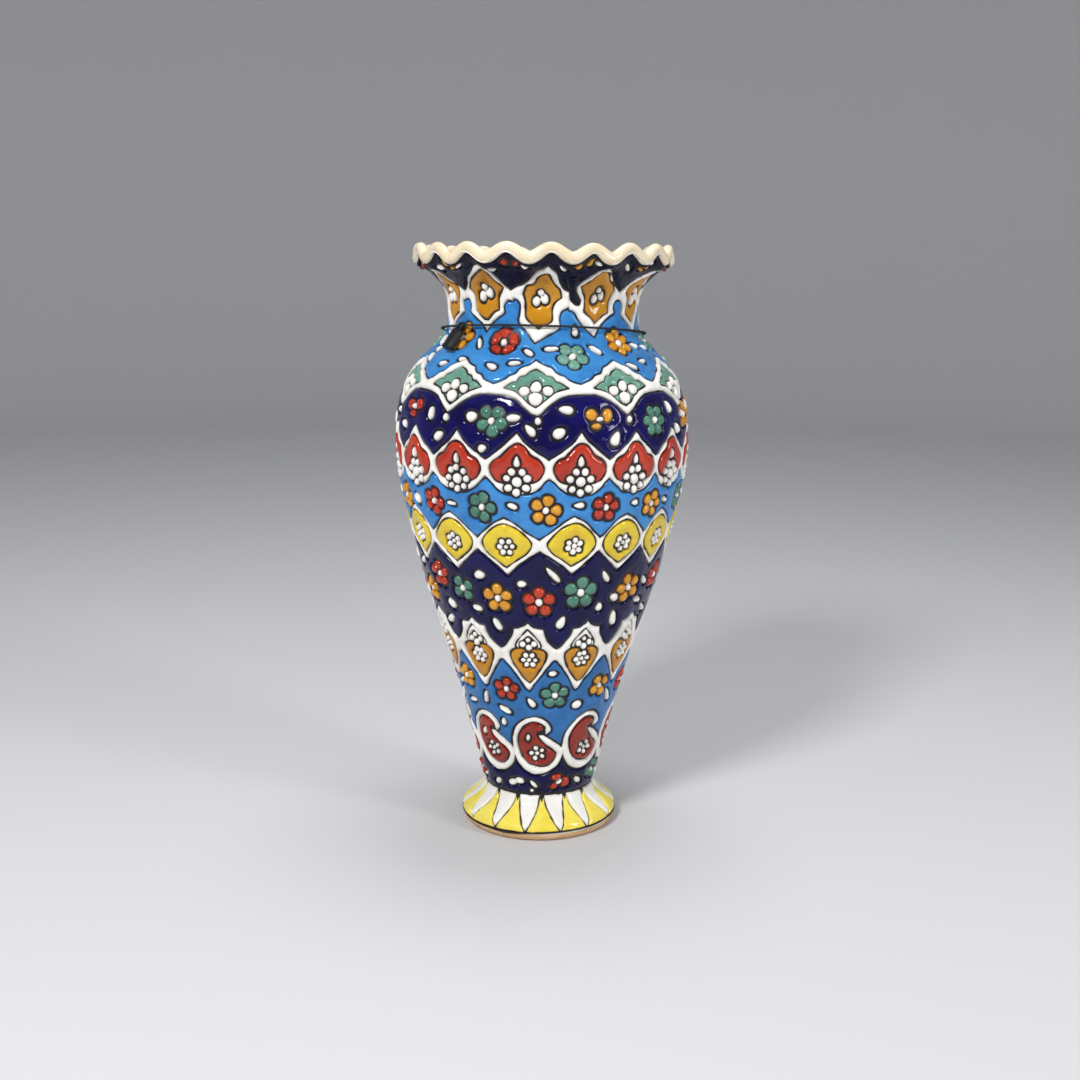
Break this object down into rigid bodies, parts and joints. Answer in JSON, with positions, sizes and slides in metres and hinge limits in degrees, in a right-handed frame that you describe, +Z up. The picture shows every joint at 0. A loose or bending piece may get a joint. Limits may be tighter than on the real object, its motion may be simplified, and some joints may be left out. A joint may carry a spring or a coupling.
{
  "type": "pottery vase",
  "caption": "Footed baluster vase in relief-enamelled pottery, with a waisted neck, a crimped flared lip and a swinging seal on a neck cord.",
  "frame": {"origin": "centre of the resting ring under the foot, at ground level", "axes": "+Z up along the vase's turning axis; -Y is the front of the painted pattern; +X is the viewer's right from the front"},
  "size_m": [0.149, 0.149, 0.2999],
  "materials": {
    "bare_clay": "unglazed pinkish buff earthenware, fine chalky grain",
    "cream_glaze": "thick glossy cream glaze, softly pooled",
    "white_enamel": "opaque white relief enamel, glossy, with near-black outlines",
    "cobalt_enamel": "deep cobalt enamel, glossy and slightly pooled",
    "blue_enamel": "sky to mid blue enamel, glossy",
    "foot_enamel": "lemon yellow and white enamel triangles, glossy",
    "ochre_enamel": "ochre to orange enamel of the medallions and hearts, glossy",
    "green_enamel": "soft green enamel of the shoulder diamonds and some petals, glossy",
    "red_enamel": "coral to brick red enamel of the trefoils, paisleys and some petals, glossy",
    "yellow_enamel": "yellow enamel of the diamonds, glossy",
    "outline_glaze": "brown-black outline glaze in the grooves, satin",
    "black_cord": "thin twisted black cord",
    "black_seal": "matte black moulded plastic"
  },
  "bodies": {
    "vase": {"foot": "bare_clay", "lower_body": "bare_clay", "upper_body": "bare_clay", "neck": "bare_clay", "crimped_rim": "bare_clay", "lip_glaze": "cream_glaze", "foot_glaze": "foot_enamel", "cobalt_band_foot": "cobalt_enamel", "paisley_band": "white_enamel", "blue_band_lower": "blue_enamel", "heart_lattice": "white_enamel", "cobalt_band_waist": "cobalt_enamel", "diamond_lattice": "white_enamel", "blue_band_belly": "blue_enamel", "medallion_lattice": "white_enamel", "cobalt_band_shoulder": "cobalt_enamel", "shoulder_lattice": "white_enamel", "blue_band_shoulder": "blue_enamel", "neck_lattice": "white_enamel", "cobalt_band_rim": "cobalt_enamel"},
    "cord_loop": {"neck_cord": "black_cord"},
    "seal": {"seal": "black_seal"}
  },
  "joints": [
    {"name": "cord_turn", "type": "hinge", "parent": "vase", "child": "cord_loop", "pos_m": [0, 0, 0.2615], "axis": [0, 0, 1], "continuous": true},
    {"name": "seal_swing", "type": "hinge", "parent": "cord_loop", "child": "seal", "pos_m": [-0.03888, -0.03263, 0.26061], "axis": [-0.6428, 0.766, 0], "range_deg": [0, 110]}
  ]
}
